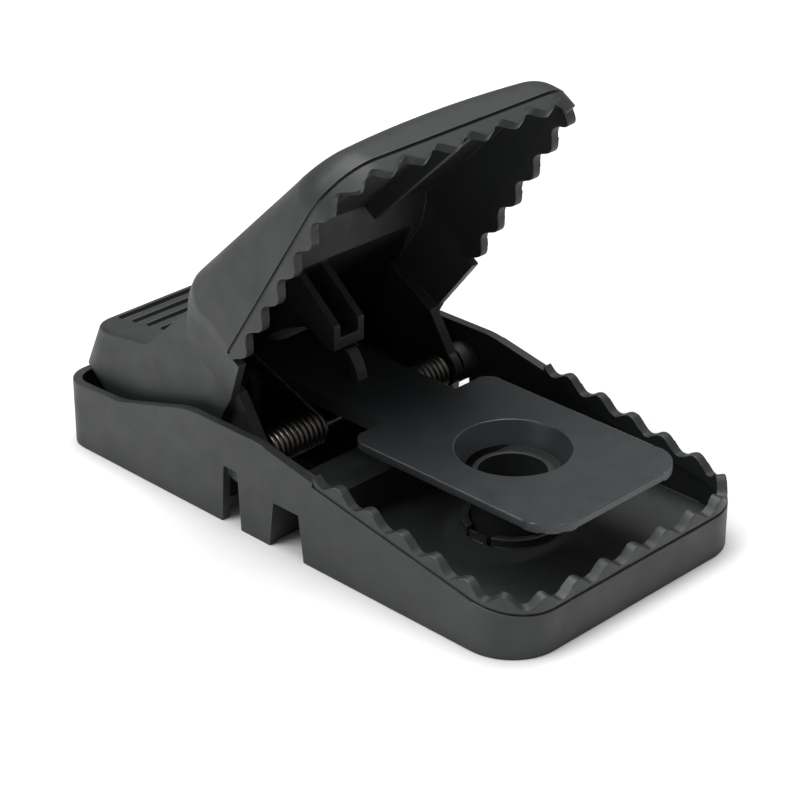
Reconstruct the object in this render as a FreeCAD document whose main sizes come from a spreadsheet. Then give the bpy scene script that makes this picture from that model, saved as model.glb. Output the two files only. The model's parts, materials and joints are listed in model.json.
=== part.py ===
"""Jaw-type snap trap for mice, shown set: toothed base tray, sprung toothed jaw, trigger pedal, bait cup.

Frame, in millimetres: the origin is the centre of the base's footprint on the surface it stands on, +X points
to the mouth, +Y is across and +Z is up. The jaw is drawn open, held by the trigger's hook.
Two oblique frames share the hinge axis as their origin: the base rim frame, tilted down by rim_slope, and the
jaw frame, tilted up by open_angle. When the jaw has turned by their sum the two rims lie on each other.
"""
import FreeCAD, Part
import math
import os
import Sketcher

V = FreeCAD.Vector
UP = V(0, 0, 1)
ACROSS = V(0, 1, 0)

DRIVING = {
    # overall
    "base_length": 141, "base_width": 75, "wall": 2.2, "rear_corner": 7, "front_corner": 12,
    "floor_low": 3, "floor_top": 5,
    # profile of the tray's side walls
    "rear_rim": 15.7, "ramp_x": -50, "ramp_z": 16.7, "hump_rear_x": -27, "hump_rear_z": 23.6,
    "hump_front_x": -4, "hump_front_z": 23.9, "strip_x": 12.9, "strip_meet_z": 20.7, "rim_round": 22,
    # hinge and the two rims
    "hinge_x": -12.5, "hinge_z": 14.8, "rim_slope": 9.6, "open_angle": 57, "rim_reach": 82.6,
    "tooth_pitch": 9.3, "tooth_depth": 2.4, "tooth_root": 10.1, "tooth_gap": 0.75,
    "groove_drop": 1.3, "groove_width": 0.6, "groove_depth": 0.8, "strip_inset": 0.3,
    "strip_proud": 0.4, "strip_root": 0.8,
    # steel pins and springs
    "pin_radius": 1.5, "pin_play": 0.05, "boss_radius": 4.5, "boss_face": 31.35,
    "coil_radius": 3.4, "wire_radius": 0.6, "coil_inner": 12, "coil_outer": 27, "coil_turns": 10,
    "base_leg": 24, "base_leg_angle": 14, "jaw_leg": 32, "jaw_leg_angle": 20,
    # side slot, cross channel and floor windows
    "slot_rear": -15.9, "slot_front": -9.7, "slot_taper": 0.9, "slot_top": 14,
    "channel_rear": -0.8, "channel_front": 9.9, "channel_taper": 1.5, "channel_top": 11,
    "window_rear": -30, "window_front": -5, "window_side": 29.5, "spine_side": 12.5,
    # upper jaw: head in the jaw frame
    "flare_rear": 9, "flare_front": 24, "head_rear": 22.5, "head_low": 11,
    "nose_top": 22.2, "front_draft": 0.45, "dome_radius": 300, "crown_x": 28.1, "crown_z": 35.1,
    "nape_x": 18.9, "nape_z": 29.6, "neck_z": 28, "crown_round": 8, "flare_round": 8, "jaw_groove_drop": 1.9,
    "rib_rear": 28, "rib_rear_low": 28.4, "rib_front": 74, "rib_front_low": 17.8, "rib_side": 16,
    # upper jaw: press handle in the base frame
    "handle_side": 33, "heel_x": -70, "heel_z": 17.8, "toe_x": -66.8, "toe_z": 15,
    "paddle_rear_x": -64.8, "paddle_rear_z": 29.2, "paddle_front_x": -43.2, "paddle_front_z": 32.5,
    "ramp_top_x": -27.2, "ramp_top_z": 47.4, "handle_low": 11, "handle_corner": 6,
    "ramp_overrun": 7, "notch_x": -16.6, "notch_z": 28.4, "flank_x": -19.6, "flank_z": 23.5,
    "flank_low_x": -25, "sole_x": -55, "handle_round": 1.2, "arm_side": 30.6, "arm_thick": 2.2,
    # ribbed grip on the paddle
    "grip_side": 26, "grip_first": -62, "grip_pitch": 4.9, "grip_width": 3, "grip_depth": 1.2,
    "grip_count": 4,
    # catch bar
    "catch_x": -14, "catch_z": 30.2, "catch_width": 2.8, "catch_side": 4.6, "web_thick": 1.8,
    # trigger pedal
    "pedal_top": 23.5, "pedal_thick": 2, "pedal_front": 65.4, "pedal_rear": 8, "pedal_side": 21.6,
    "pedal_corner": 8, "tongue_side": 11, "tongue_rear": -37, "hole_x": 35.5, "hole_radius": 12.7,
    "funnel_radius": 10.2, "funnel_low": 18.4, "funnel_wall": 1.3,
    "pivot_x": -34, "pivot_z": 19.5, "pivot_radius": 1.25, "knuckle_radius": 3,
    "post_inner": 11.5, "post_outer": 14, "hook_front": -9.6, "hook_tip": -14.4, "hook_top": 29.9,
    "hook_thick": 3,
    # bait cup
    "cup_radius": 8.8, "cup_top": 18, "cup_wall": 1.3, "cup_floor": 3.4, "cup_low": 0.9,
    "cup_flange": 12, "flange_top": 2.6, "cup_play": 0.4, "collar_radius": 11, "collar_top": 7,
    "seat_radius": 14, "lug_reach": 10.3, "lug_high": 8.6, "lug_width": 6, "grip_bar": 2.2,
}

doc = FreeCAD.newDocument("snap_trap")
sheet = doc.addObject("Spreadsheet::Sheet", "dims")
for row, (alias, value) in enumerate(DRIVING.items(), start=1):
    sheet.set(f"A{row}", alias)
    sheet.set(f"B{row}", str(value))
    sheet.setAlias(f"B{row}", alias)
doc.recompute()


class Sizes:
    """The sheet's cells as plain numbers, for the shapes that are worked out in code."""

    def __getattr__(self, alias):
        return float(getattr(sheet, alias))


size = Sizes()


# ---------------------------------------------------------------- helpers

def number(expression):
    """Value of an expression of the sheet's cells, worked out in a spare cell of the sheet."""
    sheet.set("D1", "=" + expression.replace("dims.", ""))
    sheet.recompute()
    return float(sheet.get("D1"))


def dim(alias):
    return f"dims.{alias}"


def bind(target, properties):
    """Bind each property of an object to an expression of the sheet's cells."""
    for name, expression in properties.items():
        target.setExpression(name, expression)


def origin_plane(body, role):
    return [feature for feature in body.Origin.OriginFeatures if feature.Role == role][0]


def polygon_sketch(body, name, role, corners, height=None):
    """Closed polygon on an origin plane of the body, each corner bound to the sheet."""
    sketch = body.newObject("Sketcher::SketchObject", name)
    sketch.AttachmentSupport = [(origin_plane(body, role), "")]
    sketch.MapMode = "FlatFace"
    if height:
        sketch.setExpression("AttachmentOffset.Base.z", height)
    points = [V(number(x), number(y), 0) for x, y in corners]
    count = len(points)
    for index in range(count):
        sketch.addGeometry(Part.LineSegment(points[index], points[(index + 1) % count]), False)
    for index in range(count):
        sketch.addConstraint(Sketcher.Constraint("Coincident", index, 2, (index + 1) % count, 1))
    for index, corner in enumerate(corners):
        for kind, expression in zip(("DistanceX", "DistanceY"), corner):
            value = number(expression)
            added = sketch.addConstraint(Sketcher.Constraint(kind, -1, 1, index, 1, value))
            sketch.setExpression(f"Constraints[{added}]", expression)
    return sketch


def rectangle(x_low, x_high, y_half):
    """Corners of a rectangle that is symmetric about the long axis."""
    return [(x_low, f"-({y_half})"), (x_high, f"-({y_half})"), (x_high, y_half), (x_low, y_half)]


def pad(body, name, sketch, length, symmetric=False, reverse=False):
    feature = body.newObject("PartDesign::Pad", name)
    feature.Profile = sketch
    feature.SideType = "Symmetric" if symmetric else "One side"
    feature.Reversed = reverse
    feature.setExpression("Length", length)
    doc.recompute()
    return feature


def pocket(body, name, sketch, length, symmetric=False, reverse=False):
    """Pocket that has to remove something: a wrong direction would leave the volume as it was."""
    before = body.Shape.Volume
    feature = body.newObject("PartDesign::Pocket", name)
    feature.Profile = sketch
    feature.SideType = "Symmetric" if symmetric else "One side"
    feature.Reversed = reverse
    feature.setExpression("Length", length)
    doc.recompute()
    if not body.Shape.Volume < before:
        raise RuntimeError(f"{name} cuts nothing")
    return feature


def fillet(body, name, base, radius, wanted):
    """Round the edges of the last feature that the test picks."""
    edges = [f"Edge{index}" for index, edge in enumerate(base.Shape.Edges, start=1) if wanted(edge)]
    if not edges:
        raise RuntimeError(f"{name} finds no edge")
    feature = body.newObject("PartDesign::Fillet", name)
    feature.Base = (base, edges)
    feature.setExpression("Radius", radius)
    doc.recompute()
    return feature


def is_line(edge):
    return edge.Curve.TypeId == "Part::GeomLine"


def upright_at(x_value, y_value):
    """Test for the upright straight edges at one distance from the middle, on both sides."""
    def wanted(edge):
        middle = edge.CenterOfMass
        if not is_line(edge) or edge.BoundBox.ZLength < 1 or edge.BoundBox.XLength > 0.01:
            return False
        return abs(middle.x - x_value) < 0.05 and abs(abs(middle.y) - y_value) < 0.05
    return wanted


def cylinder(name, radius, low, high, x_place, z_place=None, y_place=None):
    """Cylinder between two heights, or across the trap between two Y values when z_place is given."""
    made = doc.addObject("Part::Cylinder", name)
    bind(made, {"Radius": radius, "Height": f"({high}) - ({low})", "Placement.Base.x": x_place})
    if z_place:
        made.Placement.Rotation = FreeCAD.Rotation(V(1, 0, 0), -90)
        bind(made, {"Placement.Base.y": low, "Placement.Base.z": z_place})
    else:
        bind(made, {"Placement.Base.z": low})
        if y_place:
            bind(made, {"Placement.Base.y": y_place})
    return made


def block(name, x_low, x_high, y_low, y_high, z_low, z_high):
    made = doc.addObject("Part::Box", name)
    bind(made, {
        "Length": f"({x_high}) - ({x_low})", "Width": f"({y_high}) - ({y_low})",
        "Height": f"({z_high}) - ({z_low})",
        "Placement.Base.x": x_low, "Placement.Base.y": y_low, "Placement.Base.z": z_low,
    })
    return made


def fuse(name, pieces):
    made = doc.addObject("Part::MultiFuse", name)
    made.Shapes = pieces
    made.Refine = True
    doc.recompute()
    return made


def cut(name, base, tool):
    made = doc.addObject("Part::Cut", name)
    made.Base = base
    made.Tool = tool
    made.Refine = True
    doc.recompute()
    return made


def feature(name, shape):
    made = doc.addObject("Part::Feature", name)
    made.Shape = shape
    return made


def plate(corners, y_low, y_high):
    """Upright plate: a polygon of (x, z) corners, thick from one Y value to another."""
    points = [V(x, y_low, z) for x, z in corners]
    face = Part.Face(Part.makePolygon(points + points[:1]))
    return face.extrude(V(0, y_high - y_low, 0))


def slab(corners, z_low, z_high):
    """Flat slab: a polygon of (x, y) corners, thick from one height to another."""
    points = [V(x, y, z_low) for x, y in corners]
    face = Part.Face(Part.makePolygon(points + points[:1]))
    return face.extrude(V(0, 0, z_high - z_low))


def mirrored(shape):
    """The shape and its twin on the other side of the middle plane."""
    return [shape, shape.mirror(V(0, 0, 0), ACROSS)]


def rounded(shape, radius, wanted):
    return shape.makeFillet(radius, [edge for edge in shape.Edges if wanted(edge)])


# ---------------------------------------------------------------- toothed rims

def rim_path(inset, rear):
    """Stretches of the rim in its own frame, from the left rear end round the front to the right rear end.

    Each stretch is a start and an end, as arc length from the middle of the front, and a function that gives
    the point at that arc length. Arc length is measured on the outer outline, so inset copies stay in step.
    """
    half = size.base_width / 2
    corner = size.front_corner
    straight = half - corner
    bend = corner * math.pi / 2
    side = size.rim_reach - corner - rear

    def point(arc_length):
        sign = -1 if arc_length < 0 else 1
        run = abs(arc_length)
        if run <= straight:
            return V(size.rim_reach - inset, sign * run, 0)
        if run <= straight + bend:
            turn = (run - straight) / corner
            reach = corner - inset
            return V(size.rim_reach - corner + reach * math.cos(turn),
                     sign * (straight + reach * math.sin(turn)), 0)
        return V(size.rim_reach - corner - (run - straight - bend), sign * (half - inset), 0)

    ends = [-(straight + bend + side), -(straight + bend), -straight, straight, straight + bend,
            straight + bend + side]
    return list(zip(ends[:-1], ends[1:])), point


def rim_edge(stretch, point, height, place):
    """Line or smooth curve along one stretch of the rim at a height that may vary with arc length."""
    start, end = stretch
    steps = max(4, math.ceil((end - start) / (size.tooth_pitch / 8)))
    points = []
    for index in range(steps + 1):
        arc_length = start + (end - start) * index / steps
        points.append(place(point(arc_length), height(arc_length)))
    chord = points[-1] - points[0]
    if all((point - points[0]).cross(chord).Length < 1e-6 for point in points):
        return Part.makeLine(points[0], points[-1])
    curve = Part.BSplineCurve()
    curve.interpolate(points)
    return curve.toShape()


def rim_band(profile, rear, place):
    """Solid band that follows the rim; its section is a closed list of insets with their heights."""
    stretches = rim_path(0, rear)[0]
    rails = [(rim_path(inset, rear)[1], height) for inset, height in profile]
    faces = []
    for stretch in stretches:
        edges = [rim_edge(stretch, point, height, place) for point, height in rails]
        for first, second in zip(edges, edges[1:] + edges[:1]):
            faces.append(Part.makeRuledSurface(first, second))
    for arc_length in (stretches[0][0], stretches[-1][1]):
        ring = [place(point(arc_length), height(arc_length)) for point, height in rails]
        faces.append(Part.Face(Part.makePolygon(ring + ring[:1])))
    shell = Part.makeShell(faces)
    shell.sewShape()
    solid = Part.makeSolid(shell)
    if solid.Volume < 0:
        solid.reverse()
    return solid


def tooth_wave(root, phase):
    """Height of the toothed edge along the rim, from its root line."""
    def height(arc_length):
        turn = 2 * math.pi * arc_length / size.tooth_pitch + phase
        return root + size.tooth_depth * (1 + math.cos(turn)) / 2
    return height


def level(value):
    def height(arc_length):
        return value
    return height


def base_place(point, height):
    """Point of the base rim frame, with upright walls: heights are taken square to the rim line."""
    slope = math.radians(size.rim_slope)
    middle = size.tooth_root
    return V(size.hinge_x + point.x * math.cos(slope) + middle * math.sin(slope), point.y,
             size.hinge_z - point.x * math.sin(slope) + height * math.cos(slope)
             + (height - middle) * math.sin(slope) * math.tan(slope))


def jaw_place(point, height):
    return V(point.x, point.y, height)


def toothed_rim(place, wave, groove, away, rear):
    """Toothed strip and the neck that makes the parting groove; away is +1 with the teeth above, -1 below."""
    inside = size.wall + size.strip_proud
    root = level(groove - away * size.strip_root)
    edge = level(groove + away * size.groove_width)
    profile = [(size.strip_inset, wave), (inside, wave), (inside, root), (size.groove_depth, root),
               (size.groove_depth, edge), (size.strip_inset, edge)]
    return rim_band(profile, rear, place)


# ---------------------------------------------------------------- base tray

def rounded_block(name, inset, low, high):
    """Body with the tray's footprint, moved in by an inset, with its round upright corners."""
    body = doc.addObject("PartDesign::Body", name)
    half_length = f"dims.base_length / 2 - {inset}"
    half_width = f"dims.base_width / 2 - {inset}"
    outline = rectangle(f"-({half_length})", half_length, half_width)
    sketch = polygon_sketch(body, f"{name}_outline", "XY_Plane", outline, low)
    base = pad(body, f"{name}_block", sketch, f"({high}) - ({low})")
    rear = fillet(body, f"{name}_rear_corners", base, f"dims.rear_corner - {inset}",
                  upright_at(-number(half_length), number(half_width)))
    fillet(body, f"{name}_front_corners", rear, f"dims.front_corner - {inset}",
           upright_at(number(half_length), number(half_width)))
    return body


def rim_line(x_value):
    """Height of the front half's parting line at an X value."""
    slope = "dims.rim_slope * 1deg"
    rise = f"(dims.tooth_root - dims.groove_drop - ({x_value} - dims.hinge_x) * sin({slope}))"
    return f"dims.hinge_z + {rise} / cos({slope})"


def tray_block():
    """Outer block of the tray with its humped side profile."""
    body = rounded_block("tray_outside", "0", "0", "dims.hump_front_z + 4")
    beyond = "dims.base_length / 2 + 5"
    above = "dims.hump_front_z + 10"
    profile = [
        (f"-({beyond})", "dims.rear_rim"), (dim("ramp_x"), dim("ramp_z")),
        (dim("hump_rear_x"), dim("hump_rear_z")), (dim("hump_front_x"), dim("hump_front_z")),
        (dim("strip_x"), dim("strip_meet_z")), (dim("strip_x"), rim_line(dim("strip_x"))),
        (beyond, rim_line(f"({beyond})")), (beyond, above), (f"-({beyond})", above),
    ]
    top = pocket(body, "side_profile", polygon_sketch(body, "rim_profile", "XZ_Plane", profile),
                 "dims.base_width + 10", symmetric=True)

    def crest(edge):
        middle = edge.CenterOfMass
        crests = (size.ramp_x, size.hump_rear_x, size.hump_front_x)
        return is_line(edge) and edge.BoundBox.YLength > 1 and any(abs(middle.x - x) < 0.05 for x in crests)

    fillet(body, "rim_flow", top, "dims.rim_round", crest)
    return body


def floor_openings():
    """Windows under the two springs, and the slot in both side walls below the hinge pin."""
    body = doc.addObject("PartDesign::Body", "floor_openings")
    windows = rectangle(dim("window_rear"), dim("window_front"), dim("window_side"))
    pad(body, "windows", polygon_sketch(body, "window_outline", "XY_Plane", windows), "dims.floor_top + 1")
    slot = [
        (dim("slot_rear"), "-1"), (dim("slot_front"), "-1"),
        ("dims.slot_front - dims.slot_taper", dim("slot_top")),
        ("dims.slot_rear + dims.slot_taper", dim("slot_top")),
    ]
    pad(body, "side_slots", polygon_sketch(body, "slot_outline", "XZ_Plane", slot), "dims.base_width + 10",
        symmetric=True)
    return body


def floor_stiffeners():
    """Spine between the two windows and the raised hull over the cross channel."""
    body = doc.addObject("PartDesign::Body", "floor_stiffeners")
    spine = rectangle("dims.window_rear - 1", "dims.window_front + 4", dim("spine_side"))
    pad(body, "spine", polygon_sketch(body, "spine_outline", "XY_Plane", spine, dim("floor_low")),
        "dims.floor_top - dims.floor_low")
    hull = [
        ("dims.channel_rear - dims.wall", "0.4"), ("dims.channel_front + dims.wall", "0.4"),
        ("dims.channel_front - dims.channel_taper + dims.wall", "dims.channel_top + dims.wall"),
        ("dims.channel_rear + dims.channel_taper - dims.wall", "dims.channel_top + dims.wall"),
    ]
    pad(body, "channel_hull", polygon_sketch(body, "hull_outline", "XZ_Plane", hull),
        "dims.base_width - dims.wall", symmetric=True)
    return body


def cross_channel():
    """Channel across the underside, open at both side walls."""
    body = doc.addObject("PartDesign::Body", "cross_channel")
    channel = [
        (dim("channel_rear"), "-1"), (dim("channel_front"), "-1"),
        ("dims.channel_front - dims.channel_taper", dim("channel_top")),
        ("dims.channel_rear + dims.channel_taper", dim("channel_top")),
    ]
    pad(body, "channel_cut", polygon_sketch(body, "channel_outline", "XZ_Plane", channel),
        "dims.base_width + 10", symmetric=True)
    return body


def base_teeth():
    """Toothed strip along the front half of the tray, with the parting groove under it."""
    slope = math.radians(size.rim_slope)
    rear = (size.strip_x - size.hinge_x - size.tooth_root * math.sin(slope)) / math.cos(slope)
    wave = tooth_wave(size.tooth_root, 0)
    groove = size.tooth_root - size.groove_drop
    return feature("base_rim_teeth", toothed_rim(base_place, wave, groove, 1, rear))


def pin_bosses():
    """Round bearings for the hinge pin on the inner face of both side walls."""
    inner_wall = "dims.base_width / 2 - dims.wall"
    left = cylinder("left_boss", dim("boss_radius"), dim("boss_face"), f"{inner_wall} + 0.5",
                    dim("hinge_x"), dim("hinge_z"))
    right = cylinder("right_boss", dim("boss_radius"), f"-({inner_wall} + 0.5)", "-dims.boss_face",
                     dim("hinge_x"), dim("hinge_z"))
    return [left, right]


def pivot_posts():
    """Two posts on the floor that hold the trigger's pin."""
    rear, front = "dims.pivot_x - dims.knuckle_radius", "dims.pivot_x + dims.knuckle_radius"
    posts = []
    for side, low, high in (("left", "dims.post_inner", "dims.post_outer"),
                            ("right", "-dims.post_outer", "-dims.post_inner")):
        posts.append(block(f"{side}_post", rear, front, low, high, "dims.floor_low + 1", dim("pivot_z")))
        posts.append(cylinder(f"{side}_post_head", dim("knuckle_radius"), low, high, dim("pivot_x"),
                              dim("pivot_z")))
    return posts


def cup_seat():
    """Collar on the floor and a guard ring under it, round the bait cup's hole."""
    collar = cylinder("cup_collar", dim("collar_radius"), dim("floor_low"), dim("collar_top"), dim("hole_x"))
    guard = cylinder("cup_guard", dim("seat_radius"), "0.3", "dims.floor_low + 0.5", dim("hole_x"))
    recess = cylinder("cup_recess", "dims.cup_flange + dims.cup_play", "-1", dim("floor_low"), dim("hole_x"))
    return collar, cut("cup_guard_ring", guard, recess)


def cup_openings():
    """Hole for the cup and the two notches that its lugs pass through."""
    hole = cylinder("cup_hole", "dims.cup_radius + dims.cup_play", "-1", "dims.collar_top + 1", dim("hole_x"))
    notch = block("lug_notch", "dims.hole_x - dims.lug_width / 2 - dims.cup_play",
                  "dims.hole_x + dims.lug_width / 2 + dims.cup_play", "-dims.lug_reach - dims.cup_play",
                  "dims.lug_reach + dims.cup_play", "dims.floor_low - 1", "dims.collar_top + 1")
    return [hole, notch]


def under_ribs():
    """Stiffening ribs under the floor, clear of the surface the trap stands on."""
    ribs = []
    rear = "-dims.base_length / 2 + 1"
    front = "dims.base_length / 2 - 1"
    for name, x_low, x_high in (("rear", rear, "dims.window_rear - 2"),
                                ("front", "dims.hole_x + dims.seat_radius - 0.5", front)):
        ribs.append(block(f"{name}_mid_rib", x_low, x_high, "-0.7", "0.7", "0.5", "dims.floor_low + 0.5"))
    for name, x_low, x_high in (("rear", rear, "dims.window_rear - 2"),
                                ("front", "dims.channel_front + 1", front)):
        for side, y_low in (("left", "20"), ("right", "-21.4")):
            ribs.append(block(f"{name}_{side}_rib", x_low, x_high, y_low, f"{y_low} + 1.4", "0.5",
                              "dims.floor_low + 0.5"))
    return ribs


def make_base_tray():
    hollows = [rounded_block("tray_inside", "dims.wall", "dims.floor_top", "dims.base_width"),
               rounded_block("tray_underside", "dims.wall", "-1", "dims.floor_low"), floor_openings()]
    shell = cut("tray_shell", tray_block(), fuse("tray_hollows", hollows))
    collar, guard_ring = cup_seat()
    pieces = [shell, floor_stiffeners(), base_teeth()] + pin_bosses() + pivot_posts()
    whole = fuse("tray_whole", pieces + [collar, guard_ring] + under_ribs())
    pin_hole = cylinder("hinge_pin_hole", "dims.pin_radius + dims.pin_play", "-dims.base_width / 2 + 1.2",
                        "dims.base_width / 2 - 1.2", dim("hinge_x"), dim("hinge_z"))
    pivot_hole = cylinder("pedal_pin_hole", "dims.pivot_radius + dims.pin_play", "-dims.post_outer - 1",
                          "dims.post_outer + 1", dim("pivot_x"), dim("pivot_z"))
    tools = fuse("tray_openings", [pin_hole, pivot_hole, cross_channel()] + cup_openings())
    return cut("base_tray", whole, tools)


# ---------------------------------------------------------------- upper jaw

def jaw_to_base(shape):
    """Turn a shape from the jaw frame into the open pose."""
    shape.rotate(V(0, 0, 0), V(0, -1, 0), size.open_angle)
    shape.translate(V(size.hinge_x, 0, size.hinge_z))
    return shape


def jaw_groove():
    """Height of the jaw's parting line in the jaw frame."""
    return size.tooth_root + size.tooth_gap + size.tooth_depth + size.jaw_groove_drop


def crown_height(x_value):
    """Height of the crown's middle line at a distance along the jaw."""
    fall = (size.crown_z - size.nose_top) / (size.rim_reach - size.crown_x)
    return size.crown_z - fall * (x_value - size.crown_x)


def crown_dome(inset):
    """Long cylinder whose upper side is the crown, domed across the jaw."""
    slope = math.atan2(size.crown_z - size.nose_top, size.rim_reach - size.crown_x)
    along = V(math.cos(slope), 0, -math.sin(slope))
    square = V(math.sin(slope), 0, math.cos(slope))
    start = V(size.crown_x, 0, size.crown_z) - square * size.dome_radius - along * size.rim_reach
    return Part.makeCylinder(size.dome_radius - inset, 3 * size.rim_reach, start, along)


def head_solid(inset):
    """Head of the jaw in the jaw frame: flared, with a drafted front; an inset gives its hollow."""
    half = size.base_width / 2 - inset
    hand = size.handle_side - inset
    front = size.rim_reach - inset
    floor = size.head_low - inset * 3
    above = size.crown_z + 10

    def lean(height):
        return front - size.front_draft * (height - jaw_groove())

    plan = [(size.flare_rear, -hand), (size.flare_front, -half), (front + 5, -half), (front + 5, half),
            (size.flare_front, half), (size.flare_rear, hand)]
    side = [(size.flare_rear - 1, floor - 1), (lean(floor - 1), floor - 1), (lean(above + 1), above + 1),
            (size.flare_rear - 1, above + 1)]
    body = slab(plan, floor, above).common(plate(side, -half, half)).removeSplitter().Solids[0]
    body = rounded(body, size.front_corner - inset, lambda edge: is_line(edge) and edge.BoundBox.ZLength > 1
                   and edge.CenterOfMass.x > size.flare_front + 10)
    body = rounded(body, size.flare_round, lambda edge: is_line(edge) and edge.BoundBox.ZLength > 1
                   and abs(edge.CenterOfMass.x - size.flare_front) < 0.1)
    body = body.common(crown_dome(inset)).removeSplitter().Solids[0]
    if not inset:
        body = rounded(body, size.crown_round, lambda edge: edge.CenterOfMass.x > size.flare_rear + 0.5
                       and edge.BoundBox.ZMin > size.nose_top - 4 and not
                       (is_line(edge) and edge.BoundBox.XLength < 0.01 and edge.BoundBox.YLength < 0.01))
    nape_fall = math.atan2(size.crown_z - size.nape_z, size.crown_x - size.nape_x)
    drop = inset / math.cos(nape_fall)
    rise = (above - size.crown_z) / math.tan(nape_fall)
    nape = [(size.flare_rear, floor - 1), (front + 5, floor - 1), (front + 5, above),
            (size.crown_x + rise, above - drop), (size.nape_x, size.nape_z - drop),
            (size.flare_rear, size.neck_z - drop)]
    body = body.common(plate(nape, -half, half)).removeSplitter().Solids[0]
    if inset:
        return body
    below_groove = [(size.head_rear, 0), (front + 5, 0), (front + 5, jaw_groove()),
                    (size.head_rear, jaw_groove())]
    return body.cut(plate(below_groove, -half, half))


def handle_solid(inset):
    """Press handle in the base frame: heel, paddle and ramp up to the crown; an inset gives its hollow."""
    hand = size.handle_side - inset
    ramp = V(size.ramp_top_x - size.paddle_front_x, 0, size.ramp_top_z - size.paddle_front_z)
    ramp.normalize()
    peak = V(size.ramp_top_x, 0, size.ramp_top_z) + ramp * size.ramp_overrun + V(ramp.z, 0, -ramp.x) * inset
    floor = size.handle_low - inset * 3
    toe = (size.toe_x + inset, floor) if inset else (size.toe_x, size.toe_z)
    side = [
        (size.paddle_rear_x + 0.8 * inset, size.paddle_rear_z - inset),
        (size.paddle_front_x + 0.3 * inset, size.paddle_front_z - inset), (peak.x, peak.z),
        (size.notch_x + 2.5, size.notch_z + 8), (size.notch_x, size.notch_z),
        (size.flank_x, size.flank_z), (size.flank_low_x, floor), (size.sole_x, floor), toe,
        (size.heel_x + inset, size.heel_z),
    ]
    body = plate(side, -hand, hand)

    def heel(edge):
        middle = edge.CenterOfMass
        return edge.BoundBox.YLength < 0.1 and middle.x < size.paddle_rear_x and edge.BoundBox.ZLength > 2.5

    body = rounded(body, size.handle_corner - inset, heel)
    if inset:
        return body

    def paddle(edge):
        middle = edge.CenterOfMass
        line = size.paddle_rear_z + (size.paddle_front_z - size.paddle_rear_z) * (
            middle.x - size.paddle_rear_x) / (size.paddle_front_x - size.paddle_rear_x)
        return middle.x < size.paddle_front_x - 2 and abs(middle.z - line) < 0.4

    return rounded(body, size.handle_round, paddle)


def jaw_arms():
    """Two arms that drop from the handle's sides to round eyes on the hinge pin."""
    outline = [
        (size.hinge_x + size.boss_radius, size.hinge_z), (size.notch_x, size.notch_z),
        (size.notch_x - 13, size.notch_z + 8), (size.notch_x - 17, size.flank_z),
        (size.flank_low_x, size.handle_low), (size.hinge_x, size.hinge_z - size.boss_radius),
    ]
    inner = size.arm_side - size.arm_thick
    eye = Part.makeCylinder(size.boss_radius, size.arm_thick, V(size.hinge_x, inner, size.hinge_z), ACROSS)
    return mirrored(plate(outline, inner, size.arm_side + 0.4).fuse(eye))


def catch_bridge():
    """Catch bar that rests on the trigger's hook, on two webs that hang from the ramp."""
    low = (size.catch_x - size.catch_width, size.catch_z)
    bar = plate([low, (size.catch_x, size.catch_z), (size.catch_x, size.catch_z + size.catch_width),
                 (low[0], size.catch_z + size.catch_width)], -size.catch_side, size.catch_side)
    ramp = V(size.ramp_top_x - size.paddle_front_x, 0, size.ramp_top_z - size.paddle_front_z)
    ramp.normalize()
    inside = V(size.ramp_top_x, 0, size.ramp_top_z) + V(ramp.z, 0, -ramp.x) * (size.wall / 2)
    root = inside - ramp * 9
    outline = [low, (size.catch_x, size.catch_z), (size.catch_x, size.catch_z + 6), (inside.x, inside.z),
               (root.x, root.z)]
    return [bar] + mirrored(plate(outline, size.catch_side - size.web_thick, size.catch_side))


def jaw_ribs():
    """Two long stiffening ribs under the crown, in the jaw frame."""
    outline = [(size.rib_rear, size.rib_rear_low), (size.rib_front, size.rib_front_low),
               (size.rib_front, crown_height(size.rib_front) - size.wall),
               (size.rib_rear, crown_height(size.rib_rear) - size.wall)]
    rib = plate(outline, size.rib_side - size.web_thick / 2, size.rib_side + size.web_thick / 2)
    return [jaw_to_base(twin) for twin in mirrored(rib)]


def grip_grooves():
    """Transverse grooves in the paddle, cut square to its face."""
    slope = math.atan2(size.paddle_front_z - size.paddle_rear_z, size.paddle_front_x - size.paddle_rear_x)
    grooves = []
    for index in range(int(size.grip_count)):
        reach = (size.grip_first + index * size.grip_pitch - size.paddle_rear_x) / math.cos(slope)
        groove = Part.makeBox(size.grip_width, 2 * size.grip_side, 2 * size.grip_depth,
                              V(reach - size.grip_width / 2, -size.grip_side, -size.grip_depth))
        groove = rounded(groove, size.grip_width / 2 - 0.1,
                         lambda edge: edge.BoundBox.ZLength > 1)
        groove.rotate(V(0, 0, 0), V(0, -1, 0), math.degrees(slope))
        groove.translate(V(size.paddle_rear_x, 0, size.paddle_rear_z))
        grooves.append(groove)
    return grooves


def jaw_teeth():
    """Toothed strip along the jaw's rim and the neck that makes its parting groove."""
    wave = tooth_wave(size.tooth_root + size.tooth_gap, 0)
    return jaw_to_base(toothed_rim(jaw_place, wave, jaw_groove(), -1, size.head_rear - 0.4))


def make_upper_jaw():
    outer = jaw_to_base(head_solid(0)).fuse(handle_solid(0))
    inner = jaw_to_base(head_solid(size.wall)).fuse(handle_solid(size.wall))
    whole = outer.cut(inner)
    for piece in [jaw_teeth()] + jaw_arms() + catch_bridge() + jaw_ribs():
        whole = whole.fuse(piece)
    eye_hole = Part.makeCylinder(size.pin_radius + size.pin_play, size.base_width,
                                 V(size.hinge_x, -size.base_width / 2, size.hinge_z), ACROSS)
    for tool in grip_grooves() + [eye_hole]:
        whole = whole.cut(tool)
    return feature("upper_jaw", whole.removeSplitter().Solids[0])


# ---------------------------------------------------------------- pins and springs

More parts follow.
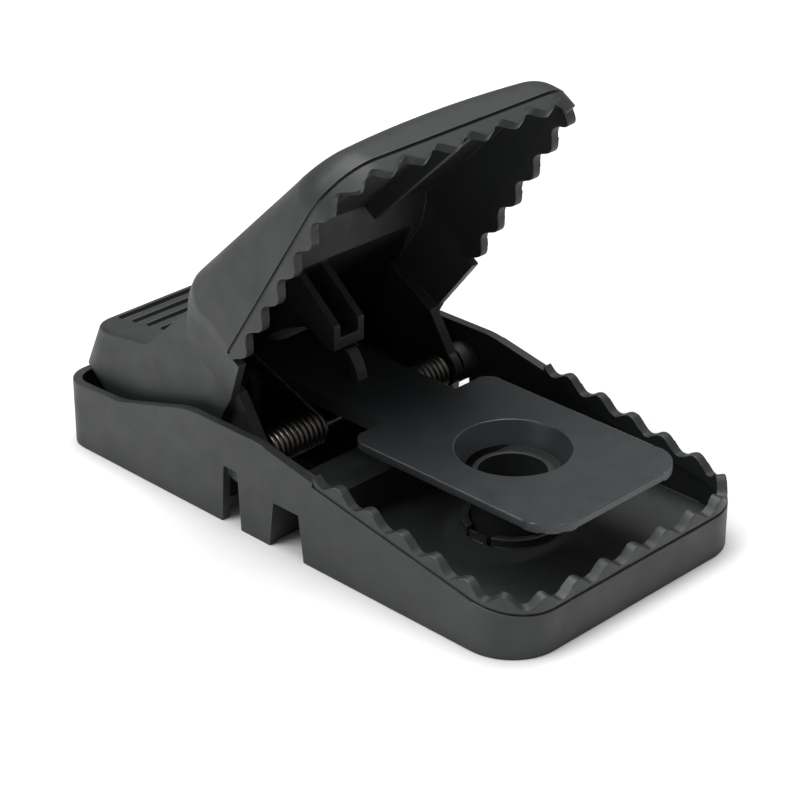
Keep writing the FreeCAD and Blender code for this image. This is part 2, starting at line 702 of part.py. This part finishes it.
def make_hinge_pin():
    return cylinder("hinge_pin", dim("pin_radius"), "-dims.base_width / 2 + 1.4", "dims.base_width / 2 - 1.4",
                    dim("hinge_x"), dim("hinge_z"))


def make_pedal_pin():
    return cylinder("pedal_pin", dim("pivot_radius"), "-dims.post_outer", dim("post_outer"), dim("pivot_x"),
                    dim("pivot_z"))


def wire_leg(normal_angle, length, y_value):
    """Straight leg that leaves the coil at the point with this angle above +X, towards the rear."""
    angle = math.radians(normal_angle)
    normal = V(math.cos(angle), 0, math.sin(angle))
    along = V(-abs(normal.z), 0, normal.x if normal.z > 0 else -normal.x)
    start = V(size.hinge_x, y_value, size.hinge_z) + normal * size.coil_radius
    return Part.makeCylinder(size.wire_radius, length, start, along)


def make_springs():
    """Two torsion springs round the hinge pin: one leg presses on the floor, the other lifts the paddle."""
    low_angle = size.base_leg_angle - 90
    high_angle = 90 - size.jaw_leg_angle
    turns = size.coil_turns + (high_angle - low_angle) / 360
    height = size.coil_outer - size.coil_inner
    coil = Part.makeHelix(height / turns, height, size.coil_radius)
    section = Part.Wire(Part.makeCircle(size.wire_radius, V(size.coil_radius, 0, 0), ACROSS))
    coil = Part.Wire(coil.Edges).makePipeShell([section], True, True)
    coil.rotate(V(0, 0, 0), V(1, 0, 0), 90)
    coil.rotate(V(0, 0, 0), V(0, -1, 0), low_angle)
    coil.translate(V(size.hinge_x, size.coil_outer, size.hinge_z))
    base_leg = wire_leg(low_angle, size.base_leg, size.coil_outer)
    jaw_leg = wire_leg(high_angle, size.jaw_leg, size.coil_inner)
    whole = coil.multiFuse([base_leg, jaw_leg]).removeSplitter()
    left, right = mirrored(whole)
    return [feature("torsion_spring_left", left), feature("torsion_spring_right", right)]


# ---------------------------------------------------------------- trigger pedal

def pedal_plate():
    """Wide trigger plate with its tongue to the rear, as one flat moulding."""
    body = doc.addObject("PartDesign::Body", "pedal_plate")
    side, tongue = "dims.pedal_side", "dims.tongue_side"
    front, rear, tail = "dims.pedal_front", "dims.pedal_rear", "dims.tongue_rear"
    outline = [
        (tail, f"-{tongue}"), (rear, f"-{tongue}"), (rear, f"-{side}"), (front, f"-{side}"),
        (front, side), (rear, side), (rear, tongue), (tail, tongue),
    ]
    sketch = polygon_sketch(body, "pedal_outline", "XY_Plane", outline, "dims.pedal_top - dims.pedal_thick")
    base = pad(body, "pedal_pad", sketch, "dims.pedal_thick")
    front_edges = upright_at(size.pedal_front, size.pedal_side)
    base = fillet(body, "pedal_front_corners", base, "dims.pedal_corner", front_edges)
    fillet(body, "pedal_rear_corners", base, "dims.pedal_corner / 2",
           upright_at(size.pedal_rear, size.pedal_side))
    return body


def cone(name, radius_low, radius_high, low, high):
    made = doc.addObject("Part::Cone", name)
    bind(made, {"Radius1": radius_low, "Radius2": radius_high, "Height": f"({high}) - ({low})",
                "Placement.Base.x": dim("hole_x"), "Placement.Base.z": low})
    return made


def pedal_ribs():
    """Two ribs under the tongue and the knuckle that turns on the pedal pin."""
    ribs = []
    for side, low, high in (("left", "dims.tongue_side - 2", "dims.tongue_side"),
                            ("right", "-dims.tongue_side", "-dims.tongue_side + 2")):
        ribs.append(block(f"{side}_tongue_rib", dim("pivot_x"), "dims.hole_x - dims.hole_radius", low, high,
                          "dims.pedal_top - dims.pedal_thick - 2", "dims.pedal_top - 0.5"))
    ribs.append(cylinder("pedal_knuckle", dim("knuckle_radius"), "-dims.tongue_side", dim("tongue_side"),
                         dim("pivot_x"), dim("pivot_z")))
    return ribs


def hook():
    """Curved hook that stands on the tongue and holds the jaw's catch bar."""
    root = size.pedal_top - 0.5
    front_low = V(size.hook_front, 0, root)
    front_middle = V(size.hook_front - 1.2, 0, size.hook_top - 3)
    front_high = V(size.hook_tip + 1.2, 0, size.hook_top)
    tip = V(size.hook_tip, 0, size.hook_top)
    lip = V(size.hook_tip, 0, size.hook_top - 1.4)
    throat = V(size.hook_tip + 1.8, 0, size.hook_top - 2.2)
    rear_low = V(size.hook_tip + 1.2, 0, root)
    edges = [Part.Arc(front_low, front_middle, front_high).toShape()]
    corners = [front_high, tip, lip, throat, rear_low, front_low]
    for start, end in zip(corners, corners[1:]):
        edges.append(Part.LineSegment(start, end).toShape())
    face = Part.Face(Part.Wire(edges))
    solid = face.extrude(V(0, size.hook_thick, 0))
    solid.translate(V(0, -size.hook_thick / 2, 0))
    return feature("trigger_hook", solid)


def make_trigger_pedal():
    low = dim("funnel_low")
    funnel = cone("funnel_outside", "dims.funnel_radius + dims.funnel_wall",
                  "dims.hole_radius + dims.funnel_wall", low, "dims.pedal_top - 0.3")
    hole = cone("funnel_inside", dim("funnel_radius"), dim("hole_radius"), low, dim("pedal_top"))
    whole = fuse("pedal_whole", [pedal_plate(), funnel, hook()] + pedal_ribs())
    pin_hole = cylinder("pedal_pin_bore", "dims.pivot_radius + dims.pin_play", "-dims.tongue_side - 1",
                        "dims.tongue_side + 1", dim("pivot_x"), dim("pivot_z"))
    return cut("trigger_pedal", whole, fuse("pedal_openings", [hole, pin_hole]))


# ---------------------------------------------------------------- bait cup

def make_bait_cup():
    """Cup that stands in the floor's collar: turned profile, two bayonet lugs and a grip bar underneath."""
    body = doc.addObject("PartDesign::Body", "cup_turned")
    centre = "0"
    outside, inside = "dims.cup_radius", "dims.cup_radius - dims.cup_wall"
    profile = [
        (centre, dim("cup_low")), (dim("cup_flange"), dim("cup_low")), (dim("cup_flange"), dim("flange_top")),
        (outside, dim("flange_top")), (outside, dim("cup_top")), (inside, dim("cup_top")),
        (inside, dim("cup_floor")), (centre, dim("cup_floor")),
    ]
    sketch = polygon_sketch(body, "cup_profile", "XZ_Plane", profile)
    turned = body.newObject("PartDesign::Revolution", "cup_turning")
    turned.Profile = sketch
    turned.ReferenceAxis = (sketch, ["V_Axis"])
    turned.Angle = 360
    bind(body, {"Placement.Base.x": dim("hole_x")})
    doc.recompute()
    reach = "sqrt(dims.lug_reach ^ 2 - (dims.lug_width / 2) ^ 2)"
    lugs = block("cup_lugs", f"dims.hole_x - {reach}", f"dims.hole_x + {reach}", "-dims.lug_width / 2",
                 "dims.lug_width / 2", "dims.collar_top + 0.4", dim("lug_high"))
    bore = cylinder("cup_bore", inside, dim("cup_floor"), "dims.cup_top + 1", dim("hole_x"))
    bar = block("cup_grip_bar", "dims.hole_x - dims.cup_flange + 2", "dims.hole_x + dims.cup_flange - 2",
                "-dims.grip_bar / 2", "dims.grip_bar / 2", "0.2", "dims.cup_low + 0.5")
    return cut("bait_cup", fuse("cup_whole", [body, lugs, bar]), bore)


# ---------------------------------------------------------------- export

def check_and_export(parts):
    for made in doc.Objects:
        if "Invalid" in made.State or "Error" in made.State:
            raise RuntimeError(f"{made.Name} failed: {made.State}")
    for made in parts:
        if made.Shape.isNull() or not made.Shape.isValid():
            raise RuntimeError(f"{made.Label} has no valid shape")
    os.makedirs("parts", exist_ok=True)
    for made in parts:
        made.Shape.exportStep(f"parts/{made.Label}.step")
        box = made.Shape.BoundBox
        print(f"{made.Label}: {made.Shape.Volume:.0f} mm3, {box.XLength:.1f} x {box.YLength:.1f} x "
              f"{box.ZLength:.1f} mm")


check_and_export([make_base_tray(), make_upper_jaw(), make_hinge_pin(), make_pedal_pin(), *make_springs(),
                  make_trigger_pedal(), make_bait_cup()])
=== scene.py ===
"""Looks of the jaw-type snap mouse trap: matt black moulded plastic, dark spring wire, a pale studio."""

import json
import math

import bmesh
import bpy
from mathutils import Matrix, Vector


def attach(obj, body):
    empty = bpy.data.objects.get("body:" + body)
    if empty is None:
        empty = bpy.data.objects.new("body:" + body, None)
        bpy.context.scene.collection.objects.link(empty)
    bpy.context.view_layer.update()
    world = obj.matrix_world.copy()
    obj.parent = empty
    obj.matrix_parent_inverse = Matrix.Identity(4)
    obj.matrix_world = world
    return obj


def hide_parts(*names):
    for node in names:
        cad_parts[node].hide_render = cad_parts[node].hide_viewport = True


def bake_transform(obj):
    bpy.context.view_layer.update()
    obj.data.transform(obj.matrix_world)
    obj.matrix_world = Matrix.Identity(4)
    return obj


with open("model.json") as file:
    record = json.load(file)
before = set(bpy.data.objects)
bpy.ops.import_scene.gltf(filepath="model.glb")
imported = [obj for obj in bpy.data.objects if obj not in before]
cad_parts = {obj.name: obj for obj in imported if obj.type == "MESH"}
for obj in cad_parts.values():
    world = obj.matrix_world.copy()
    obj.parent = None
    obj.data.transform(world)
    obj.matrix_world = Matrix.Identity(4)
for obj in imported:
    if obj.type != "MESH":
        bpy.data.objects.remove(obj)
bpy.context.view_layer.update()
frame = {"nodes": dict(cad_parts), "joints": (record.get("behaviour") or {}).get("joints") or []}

MM = 0.001

# Camera: azimuth and elevation in degrees, the rest in metres, with the lens in millimetres
VIEW_AZIMUTH = 44.68
VIEW_ELEVATION = 26.76
VIEW_DISTANCE = 0.57894
VIEW_TARGET = Vector((0, 0, 30 * MM))
VIEW_LENS = 119.0
VIEW_SENSOR = 36.0
VIEW_SHIFT = (0.0072, -0.0421)

# Edge rounding of the mouldings: an edge is rounded if it bends between the first two angles and the faces
# beside it are ROOM_FOR_ROUND times as deep as the rounding. Edges past HARD_ANGLE keep a crease in the shading.
SHARP_ANGLE = math.radians(24)
KNIFE_ANGLE = math.radians(150)
HARD_ANGLE = math.radians(50)
ROOM_FOR_ROUND = 2.2
ROUND_STEPS = 2
WELD = 0.01 * MM
SLIVER = 0.04 * MM
SLIVER_PASSES = 3
CASE_ROUND = 0.25 * MM
PEDAL_ROUND = 0.3 * MM

# Dust on the plastic
DUST_TONE = (0.09, 0.09, 0.088)

# Studio, in metres and watts: softboxes are a name, a place, a side and a power
FLOOR_HALF = 6.0
AIR_STRENGTH = 0.2
LIGHT_TARGET = (0, 0, 0.03)
SOFTBOXES = [("key_softbox", (-0.35, -0.75, 0.95), 0.7, 7), ("top_softbox", (-0.1, 0.1, 1.1), 0.9, 15)]

# Torsion springs, in metres and degrees: the wire is wound from the coil's outer end to its inner end. At rest
# the base leg runs back BASE_LEG_ANGLE below level and the jaw leg JAW_LEG_ANGLE above it.
WIRE_RADIUS = 0.6 * MM
WIRE_END_ROUND = 0.3 * WIRE_RADIUS
COIL_RADIUS = 3.4 * MM
COIL_OUTER = 27 * MM
COIL_INNER = 12 * MM
COIL_TURNS = 10
BASE_LEG_ANGLE = 14
BASE_LEG = 24 * MM
JAW_LEG_ANGLE = 20
JAW_LEG = 32 * MM
WIRE_SIDES = 14
STEPS_PER_TURN = 40


# ---------------------------------------------------------------- node trees

def new_material(name):
    """Material with an empty Principled surface; returns it with a helper that adds linked nodes."""
    material = bpy.data.materials.new(name)
    material.use_nodes = True
    tree = material.node_tree
    tree.nodes.clear()
    output = tree.nodes.new("ShaderNodeOutputMaterial")
    surface = tree.nodes.new("ShaderNodeBsdfPrincipled")
    tree.links.new(surface.outputs["BSDF"], output.inputs["Surface"])

    def add(kind, inputs=None, **settings):
        node = tree.nodes.new(kind)
        for key, value in settings.items():
            setattr(node, key, value)
        for key, value in (inputs or {}).items():
            if isinstance(value, bpy.types.NodeSocket):
                tree.links.new(value, node.inputs[key])
            else:
                node.inputs[key].default_value = value
        return node

    return material, surface, tree, add


def ramp(add, value, low, high, to_low=0.0, to_high=1.0):
    """Map a value from one range to another, clamped at both ends."""
    node = add("ShaderNodeMapRange", {"Value": value, "From Min": low, "From Max": high, "To Min": to_low,
                                      "To Max": to_high})
    return node.outputs["Result"]


def noise(add, place, scale, detail=3.0, roughness=0.5):
    """Value of a noise texture; a larger scale makes a finer pattern."""
    node = add("ShaderNodeTexNoise", {"Vector": place, "Scale": scale, "Detail": detail,
                                      "Roughness": roughness})
    return node.outputs["Fac"]


def plastic(name, tone, edge_wear_and_highlight_tone, rough_low, rough_high, grain_depth):
    """Moulded black plastic: fine spark-eroded grain, faint flow marks, dust, and rounded edges painted lighter,
    partly as rubbed wear and partly as a painted highlight.
    """
    material, surface, tree, add = new_material(name)
    place = add("ShaderNodeTexCoord").outputs["Object"]
    crest = add("ShaderNodeAttribute", attribute_name="crest").outputs["Fac"]

    cloud = noise(add, place, scale=45.0, detail=4.0, roughness=0.55)
    patch = noise(add, place, scale=160.0, detail=3.0, roughness=0.6)
    grain = noise(add, place, scale=3200.0, detail=2.0, roughness=0.6)
    pits = add("ShaderNodeTexVoronoi", {"Vector": place, "Scale": 1900.0}).outputs["Distance"]

    tint = add("ShaderNodeMix", {"Factor": ramp(add, cloud, 0.3, 0.7)}, data_type="RGBA")
    tint.inputs["A"].default_value = (*[channel * 0.9 for channel in tone], 1)
    tint.inputs["B"].default_value = (*[channel * 1.1 for channel in tone], 1)
    # Patchy lighter colour along the crests of the rounded edges: partly rubbed wear, partly a painted highlight
    # where the edges catch the light.
    edge_wear_and_highlight_mask = add("ShaderNodeMath", {0: crest, 1: ramp(add, patch, 0.34, 0.62, 0.35, 1.0)}, operation="MULTIPLY")
    edge_wear_and_highlight = add("ShaderNodeMix", {"Factor": edge_wear_and_highlight_mask.outputs["Value"], "A": tint.outputs["Result"]},
               data_type="RGBA")
    edge_wear_and_highlight.inputs["B"].default_value = (*edge_wear_and_highlight_tone, 1)
    dust = noise(add, place, scale=900.0, detail=5.0, roughness=0.7)
    specks = add("ShaderNodeMix", {"Factor": ramp(add, dust, 0.68, 0.8, 0.0, 0.25),
                                   "A": edge_wear_and_highlight.outputs["Result"]}, data_type="RGBA")
    specks.inputs["B"].default_value = (*DUST_TONE, 1)
    tree.links.new(specks.outputs["Result"], surface.inputs["Base Color"])

    blend = add("ShaderNodeMath", {0: ramp(add, patch, 0.3, 0.7, rough_low, rough_high),
                                   1: ramp(add, crest, 0.0, 1.0, 0.0, -0.07)}, operation="ADD")
    tree.links.new(blend.outputs["Value"], surface.inputs["Roughness"])
    surface.inputs["IOR"].default_value = 1.53

    texture = add("ShaderNodeMath", {0: grain, 1: ramp(add, pits, 0.0, 0.6, 0.0, 0.6)}, operation="ADD")
    bump = add("ShaderNodeBump", {"Height": texture.outputs["Value"], "Strength": 0.55,
                                  "Distance": grain_depth})
    flow = add("ShaderNodeBump", {"Height": cloud, "Strength": 0.2, "Distance": 0.12 * MM,
                                  "Normal": bump.outputs["Normal"]})
    tree.links.new(flow.outputs["Normal"], surface.inputs["Normal"])
    return material


def steel(name, tone, dark_tone, rough_low, rough_high):
    """Drawn steel wire: die lines round the wire's length, oil film and darker stains."""
    material, surface, tree, add = new_material(name)
    place = add("ShaderNodeTexCoord").outputs["Object"]
    stain = noise(add, place, scale=420.0, detail=4.0, roughness=0.6)
    lines = noise(add, place, scale=5200.0, detail=2.0, roughness=0.5)
    tint = add("ShaderNodeMix", {"Factor": ramp(add, stain, 0.35, 0.68)}, data_type="RGBA")
    tint.inputs["A"].default_value = (*tone, 1)
    tint.inputs["B"].default_value = (*dark_tone, 1)
    tree.links.new(tint.outputs["Result"], surface.inputs["Base Color"])
    surface.inputs["Metallic"].default_value = 1.0
    tree.links.new(ramp(add, stain, 0.3, 0.7, rough_low, rough_high), surface.inputs["Roughness"])
    bump = add("ShaderNodeBump", {"Height": lines, "Strength": 0.35, "Distance": 0.02 * MM})
    tree.links.new(bump.outputs["Normal"], surface.inputs["Normal"])
    return material


# ---------------------------------------------------------------- meshes

def bend(edge):
    """Angle between the two faces of an edge."""
    return edge.calc_face_angle(0) if edge.is_manifold else 0


def fan_normal(face, vertex):
    """Area-weighted normal at a corner, over the faces it reaches without crossing a hard edge."""
    fan = {face}
    waiting = [face]
    while waiting:
        near = waiting.pop()
        for edge in near.edges:
            if vertex not in edge.verts or bend(edge) > HARD_ANGLE:
                continue
            for other in edge.link_faces:
                if other not in fan:
                    fan.add(other)
                    waiting.append(other)
    total = Vector()
    for member in fan:
        total += member.normal * member.calc_area()
    return total.normalized() if total.length else face.normal


def finish_mesh(made, name, material):
    """Turn a bmesh into an object: flats stay flat, rounded edges smooth and hard edges hard."""
    made.normal_update()
    normals = [fan_normal(face, loop.vert) for face in made.faces for loop in face.loops]
    for face in made.faces:
        face.smooth = True
    mesh = bpy.data.meshes.new(name)
    made.to_mesh(mesh)
    made.free()
    mesh.normals_split_custom_set(normals)
    mesh.materials.append(material)
    piece = bpy.data.objects.new(name, mesh)
    bpy.context.scene.collection.objects.link(piece)
    return piece


def depth(face, edge):
    """How far a face reaches from one of its edges."""
    start, end = (vertex.co for vertex in edge.verts)
    way = (end - start).normalized()
    offsets = [vertex.co - start for vertex in face.verts]
    return max((offset - way * offset.dot(way)).length for offset in offsets)


def moulded(node, name, body, width, material):
    """Detailed copy of a CAD node, with each sharp edge that has room for it rounded.

    Its crest attribute is 1 along the middle of each rounded edge and 0 elsewhere.
    """
    made = bmesh.new()
    made.from_mesh(frame["nodes"][node].data)
    bmesh.ops.remove_doubles(made, verts=made.verts, dist=WELD)
    for _ in range(SLIVER_PASSES):
        bmesh.ops.dissolve_degenerate(made, edges=made.edges, dist=SLIVER)
    made.normal_update()
    sharp = [edge for edge in made.edges if SHARP_ANGLE < bend(edge) < KNIFE_ANGLE
             and all(depth(face, edge) > ROOM_FOR_ROUND * width for face in edge.link_faces)]
    rounded = bmesh.ops.bevel(made, geom=sharp, offset=width, offset_type="OFFSET", segments=ROUND_STEPS,
                              profile=0.5, affect="EDGES", clamp_overlap=False, loop_slide=True)
    crest_faces = set(rounded["faces"])
    crest = made.verts.layers.float.new("crest")
    for vertex in made.verts:
        vertex[crest] = float(all(face in crest_faces for face in vertex.link_faces))
    bmesh.ops.triangulate(made, faces=[face for face in made.faces if len(face.verts) > 4])
    piece = finish_mesh(made, name, material)
    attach(piece, body)
    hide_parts(node)


def spring_path(hinge, side):
    """Centre line of one spring's wire: tip of the base leg, coil, tip of the jaw leg."""
    low = math.radians(BASE_LEG_ANGLE - 90)
    high = math.radians(90 - JAW_LEG_ANGLE)
    sweep = COIL_TURNS * 2 * math.pi + high - low
    steps = round(sweep / (2 * math.pi) * STEPS_PER_TURN)

    def on_coil(share):
        angle = low + sweep * share
        across = COIL_OUTER + (COIL_INNER - COIL_OUTER) * share
        return Vector((hinge.x + COIL_RADIUS * math.cos(angle), side * across,
                       hinge.z + COIL_RADIUS * math.sin(angle)))

    first, last = on_coil(0), on_coil(1)
    base_way = Vector((math.sin(low), 0, -math.cos(low)))
    jaw_way = Vector((-math.sin(high), 0, math.cos(high)))
    path = [first + base_way * BASE_LEG * share for share in (1, 0.75, 0.5, 0.25)]
    path += [on_coil(step / steps) for step in range(steps + 1)]
    path += [last + jaw_way * JAW_LEG * share for share in (0.25, 0.5, 0.75, 1)]
    return path


def spring(hinge, side, node, material):
    """Round wire swept along the spring's centre line, with rounded ends."""
    path = spring_path(hinge, side)
    made = bmesh.new()
    across = Vector((0, 1, 0))
    rings = []

    def ring(centre, ahead, radius):
        nonlocal across
        across = (across - ahead * across.dot(ahead)).normalized()
        up = ahead.cross(across)
        turns = [2 * math.pi * index / WIRE_SIDES for index in range(WIRE_SIDES)]
        rings.append([made.verts.new(centre + (across * math.cos(turn) + up * math.sin(turn)) * radius)
                      for turn in turns])

    count = len(path)
    for index, point in enumerate(path):
        ahead = (path[min(index + 1, count - 1)] - path[max(index - 1, 0)]).normalized()
        if index == 0:
            ring(point, ahead, WIRE_RADIUS - WIRE_END_ROUND)
            ring(point + ahead * WIRE_END_ROUND, ahead, WIRE_RADIUS)
        elif index == count - 1:
            ring(point - ahead * WIRE_END_ROUND, ahead, WIRE_RADIUS)
            ring(point, ahead, WIRE_RADIUS - WIRE_END_ROUND)
        else:
            ring(point, ahead, WIRE_RADIUS)
    for first, second in zip(rings[:-1], rings[1:]):
        for index in range(WIRE_SIDES):
            after = (index + 1) % WIRE_SIDES
            made.faces.new((first[index], first[after], second[after], second[index]))
    made.faces.new(list(reversed(rings[0])))
    made.faces.new(rings[-1])
    bmesh.ops.recalc_face_normals(made, faces=made.faces)
    piece = finish_mesh(made, f"{node}_wire", material)
    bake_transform(piece)
    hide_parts(node)


# ---------------------------------------------------------------- the trap

# The second, lighter tone of each plastic goes on its rounded edges: partly rubbed wear, partly a painted
# highlight.
black = plastic("black_plastic_moulded", tone=(0.02, 0.022, 0.0225), edge_wear_and_highlight_tone=(0.07, 0.073, 0.073),
                rough_low=0.46, rough_high=0.6, grain_depth=0.03 * MM)
smooth_black = plastic("pedal_plastic_moulded", tone=(0.03, 0.033, 0.036), edge_wear_and_highlight_tone=(0.07, 0.074, 0.076),
                       rough_low=0.3, rough_high=0.42, grain_depth=0.012 * MM)
bright = steel("pin_steel_drawn", tone=(0.56, 0.55, 0.53), dark_tone=(0.38, 0.37, 0.35),
               rough_low=0.24, rough_high=0.38)
oiled = steel("spring_steel_oiled", tone=(0.36, 0.33, 0.3), dark_tone=(0.17, 0.155, 0.14),
              rough_low=0.3, rough_high=0.46)

moulded("base_tray", "base_tray_moulding", "base", CASE_ROUND, black)
moulded("upper_jaw", "upper_jaw_moulding", "jaw", CASE_ROUND, black)
moulded("trigger_pedal", "trigger_pedal_moulding", "pedal", PEDAL_ROUND, smooth_black)
moulded("bait_cup", "bait_cup_moulding", "cup", CASE_ROUND, black)
moulded("hinge_pin", "hinge_pin_bar", "base", CASE_ROUND, bright)
moulded("pedal_pin", "pedal_pin_bar", "base", CASE_ROUND, bright)

hinge_place = Vector(next(joint["pos_m"] for joint in frame["joints"] if joint["name"] == "jaw_hinge"))
spring(hinge_place, 1, "torsion_spring_left", oiled)
spring(hinge_place, -1, "torsion_spring_right", oiled)


# ---------------------------------------------------------------- studio

def softbox(name, place, side, power):
    """Square area light aimed at the trap."""
    light = bpy.data.lights.new(name, "AREA")
    light.shape = "SQUARE"
    light.size = side
    light.energy = power
    lamp = bpy.data.objects.new(name, light)
    lamp.location = place
    lamp.rotation_mode = "QUATERNION"
    lamp.rotation_quaternion = (Vector(LIGHT_TARGET) - Vector(place)).to_track_quat("-Z", "Y")
    bpy.context.scene.collection.objects.link(lamp)


def make_floor():
    """Pale matt paper under the trap, far wider than any view."""
    material, surface, tree, add = new_material("studio_paper")
    place = add("ShaderNodeTexCoord").outputs["Object"]
    tint = add("ShaderNodeMix", {"Factor": noise(add, place, scale=6.0)}, data_type="RGBA")
    tint.inputs["A"].default_value = (0.86, 0.86, 0.86, 1)
    tint.inputs["B"].default_value = (0.9, 0.9, 0.9, 1)
    tree.links.new(tint.outputs["Result"], surface.inputs["Base Color"])
    surface.inputs["Roughness"].default_value = 0.9
    mesh = bpy.data.meshes.new("studio_floor")
    corners = [(x_side * FLOOR_HALF, y_side * FLOOR_HALF, 0)
               for x_side, y_side in ((-1, -1), (1, -1), (1, 1), (-1, 1))]
    mesh.from_pydata(corners, [], [(0, 1, 2, 3)])
    mesh.materials.append(material)
    floor = bpy.data.objects.new("studio_floor", mesh)
    bpy.context.scene.collection.objects.link(floor)


def make_camera():
    """Camera of the main view: azimuth turns from -Y towards +X."""
    azimuth, elevation = math.radians(VIEW_AZIMUTH), math.radians(VIEW_ELEVATION)
    back = Vector((math.sin(azimuth) * math.cos(elevation), -math.cos(azimuth) * math.cos(elevation),
                   math.sin(elevation)))
    data = bpy.data.cameras.new("camera")
    data.sensor_width = VIEW_SENSOR
    data.lens = VIEW_LENS
    data.shift_x, data.shift_y = VIEW_SHIFT
    camera = bpy.data.objects.new("camera", data)
    camera.location = VIEW_TARGET + back * VIEW_DISTANCE
    camera.rotation_mode = "QUATERNION"
    camera.rotation_quaternion = (-back).to_track_quat("-Z", "Y")
    bpy.context.scene.collection.objects.link(camera)
    bpy.context.scene.camera = camera


def make_air():
    """Even white light from all round."""
    world = bpy.data.worlds.new("studio_air")
    world.use_nodes = True
    background = world.node_tree.nodes["Background"]
    background.inputs["Color"].default_value = (1, 1, 1, 1)
    background.inputs["Strength"].default_value = AIR_STRENGTH
    bpy.context.scene.world = world


make_floor()
make_camera()
make_air()
for box in SOFTBOXES:
    softbox(*box)
bpy.context.scene.view_settings.view_transform = "Standard"
